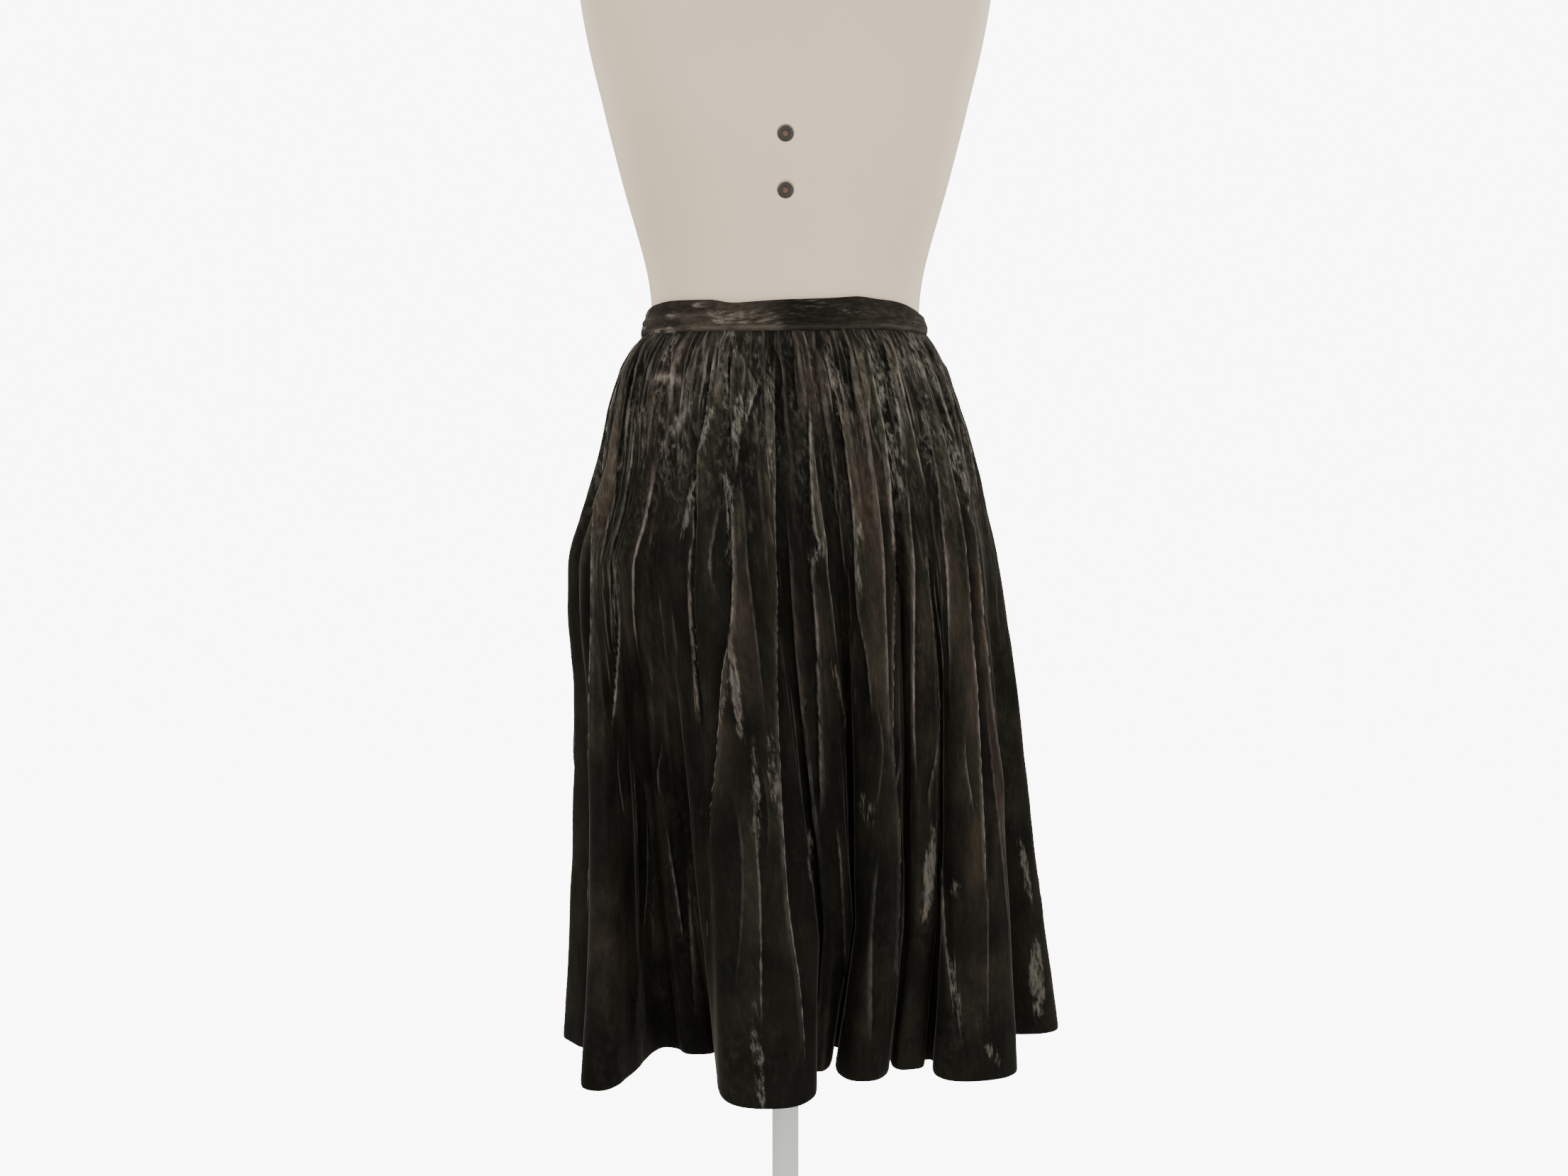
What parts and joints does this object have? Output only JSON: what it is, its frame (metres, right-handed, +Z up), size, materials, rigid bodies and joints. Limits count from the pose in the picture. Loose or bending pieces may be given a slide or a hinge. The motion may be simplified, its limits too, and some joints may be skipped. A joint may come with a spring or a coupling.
{
  "type": "gathered velvet skirt on a dress form",
  "caption": "Knee-length crushed velvet skirt gathered into a narrow waistband, hanging in deep soft folds from a limbless dress form on a pole with a round base",
  "frame": {"origin": "on the floor at the middle of the stand base's underside, straight below the pole", "axes": "+Z is up along the pole, -Y is the front of the skirt and form, +X is the viewer's right when facing the front"},
  "size_m": [0.4762, 0.3625, 1.4655],
  "materials": {
    "velvet": "crushed pile, dark olive brown",
    "band_velvet": "crushed pile, dark brown",
    "button_shell": "dark polished",
    "form_shell": "satin cream",
    "screw_steel": "blackened",
    "stand_lacquer": "satin off-white"
  },
  "bodies": {
    "root": {"skirt_front": "velvet", "skirt_back_left": "velvet", "skirt_back_right": "velvet", "waistband": "band_velvet", "waistband_button": "button_shell", "form_torso": "form_shell", "form_screw_upper": "screw_steel", "form_screw_lower": "screw_steel", "stand_base": "stand_lacquer", "stand_pole": "stand_lacquer", "stand_flange": "stand_lacquer"}
  },
  "joints": []
}
